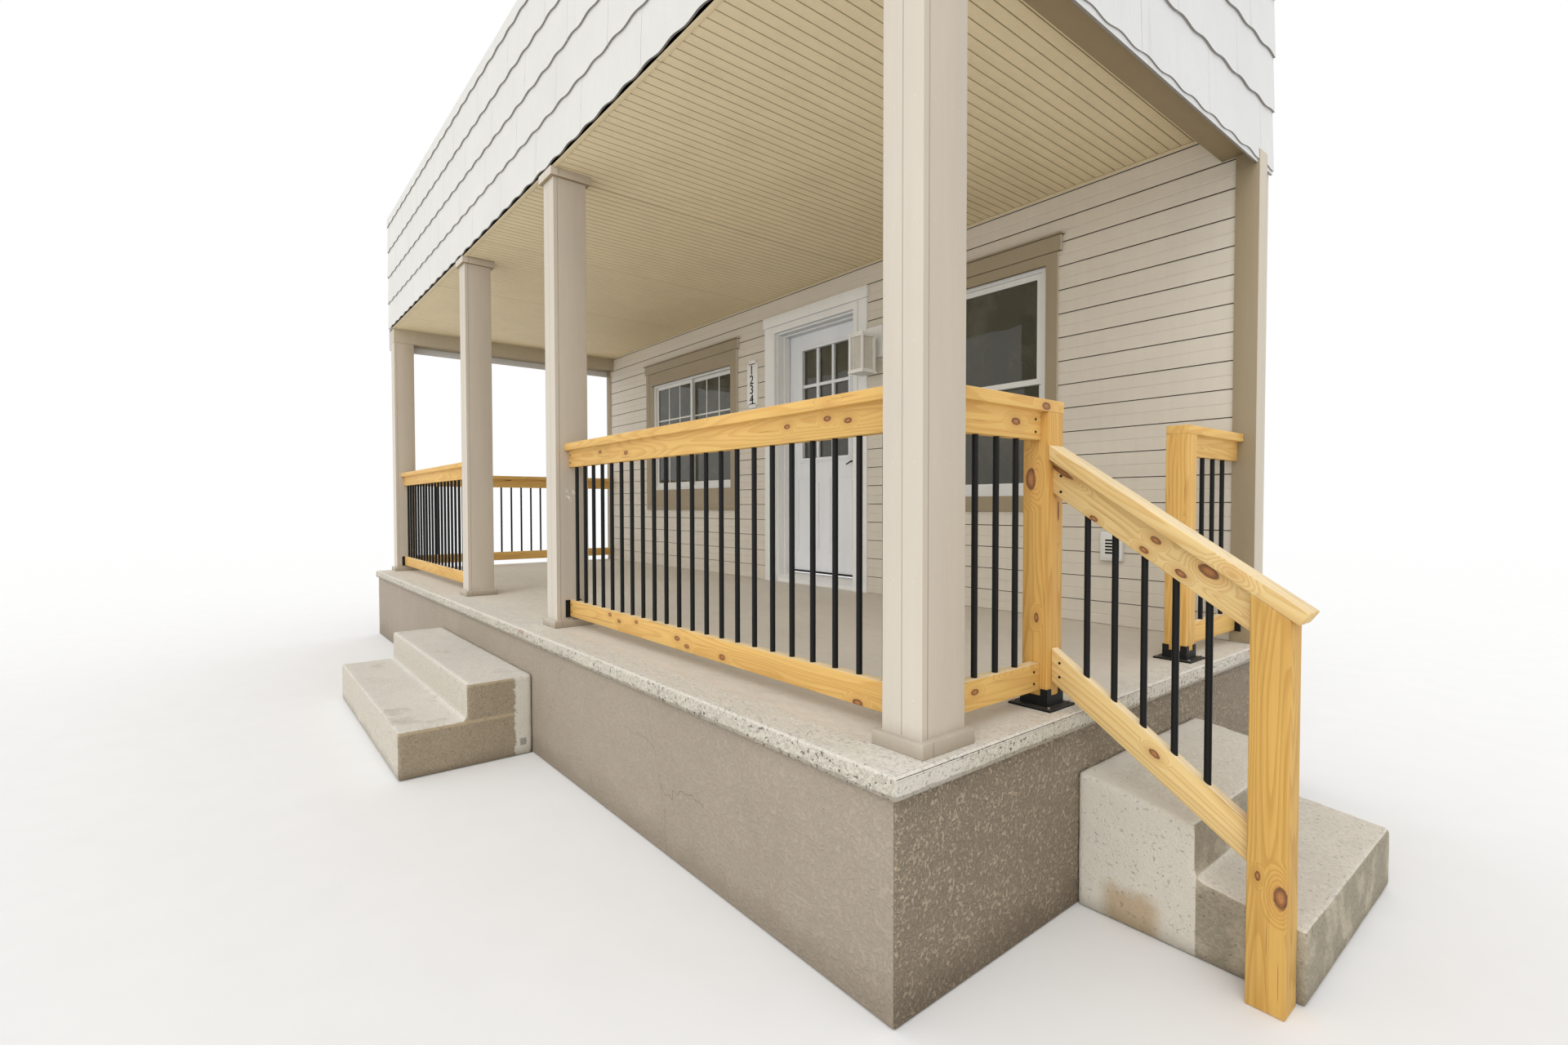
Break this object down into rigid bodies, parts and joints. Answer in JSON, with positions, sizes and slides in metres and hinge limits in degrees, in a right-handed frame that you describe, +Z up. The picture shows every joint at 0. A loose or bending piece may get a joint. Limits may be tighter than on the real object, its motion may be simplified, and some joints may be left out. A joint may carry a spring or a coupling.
{
  "type": "front porch",
  "caption": "Raised front porch under an upper storey, with boxed columns, pine railings, concrete steps and a panelled door that opens.",
  "frame": {"origin": "on the ground, in the middle of the footprint", "axes": "+X to the right along the front, +Y into the house, +Z up"},
  "size_m": [7.6126, 3.38, 4.2],
  "materials": {
    "masonry": "painted rough stucco",
    "slab": "worn smooth concrete",
    "steps": "weathered concrete",
    "column_paint": "satin greige paint",
    "beam_paint": "satin taupe paint",
    "ceiling_board": "beaded tan boards",
    "floor_timber": "raw timber",
    "shingles": "painted cement shingles, matte",
    "siding": "painted lap siding, matte",
    "trim_taupe": "satin taupe paint",
    "trim_white": "satin white paint",
    "door_white": "satin white paint",
    "vinyl_white": "satin",
    "glass": "clear",
    "lever_metal": "dark satin",
    "hinge_metal": "satin",
    "lantern_white": "satin white paint",
    "pine": "fresh treated pine, oiled look",
    "baluster_black": "satin black",
    "base_black": "satin black"
  },
  "bodies": {
    "porch": {"foundation_wall": "masonry", "porch_slab": "slab", "front_steps": "steps", "side_step_slab": "steps", "side_step_block": "steps", "column_far_left": "column_paint", "column_stair_left": "column_paint", "column_stair_right": "column_paint", "column_corner": "column_paint", "side_beam_left": "beam_paint", "side_beam_right": "beam_paint", "porch_ceiling": "ceiling_board", "upper_floor": "floor_timber", "upper_wall_front": "shingles", "upper_wall_left": "shingles", "upper_wall_right": "shingles", "wall_left": "siding", "wall_right": "siding", "wall_over_door": "siding", "corner_board_left": "trim_taupe", "corner_board_right": "trim_taupe", "door_frame": "trim_white", "door_casing": "trim_white", "door_hinge_pins": "hinge_metal", "window_left_trim": "trim_taupe", "window_left_frame": "vinyl_white", "window_left_glass": "glass", "window_right_trim": "trim_taupe", "window_right_frame": "vinyl_white", "window_right_glass": "glass", "lantern_block": "trim_white", "wall_lantern": "lantern_white", "lantern_glass": "glass", "railing_front_right": "pine", "balusters_front_right": "baluster_black", "railing_front_left": "pine", "balusters_front_left": "baluster_black", "railing_side_left": "pine", "balusters_side_left": "baluster_black", "railing_side_front": "pine", "balusters_side_front": "baluster_black", "railing_side_rear": "pine", "balusters_side_rear": "baluster_black", "post_front": "pine", "post_rear": "pine", "post_base_front": "base_black", "post_base_rear": "base_black", "rail_brackets": "base_black", "stair_rail": "pine", "stair_balusters": "baluster_black", "newel_post": "pine"},
    "door": {"door_leaf": "door_white", "door_glass": "glass", "door_lever": "lever_metal", "door_hinge_leaves": "hinge_metal"}
  },
  "joints": [
    {"name": "entry_door_hinge", "type": "hinge", "parent": "porch", "child": "door", "pos_m": [-0.42375, 1.643, 0.724], "axis": [0, 0, 1], "range_deg": [0, 100]}
  ]
}
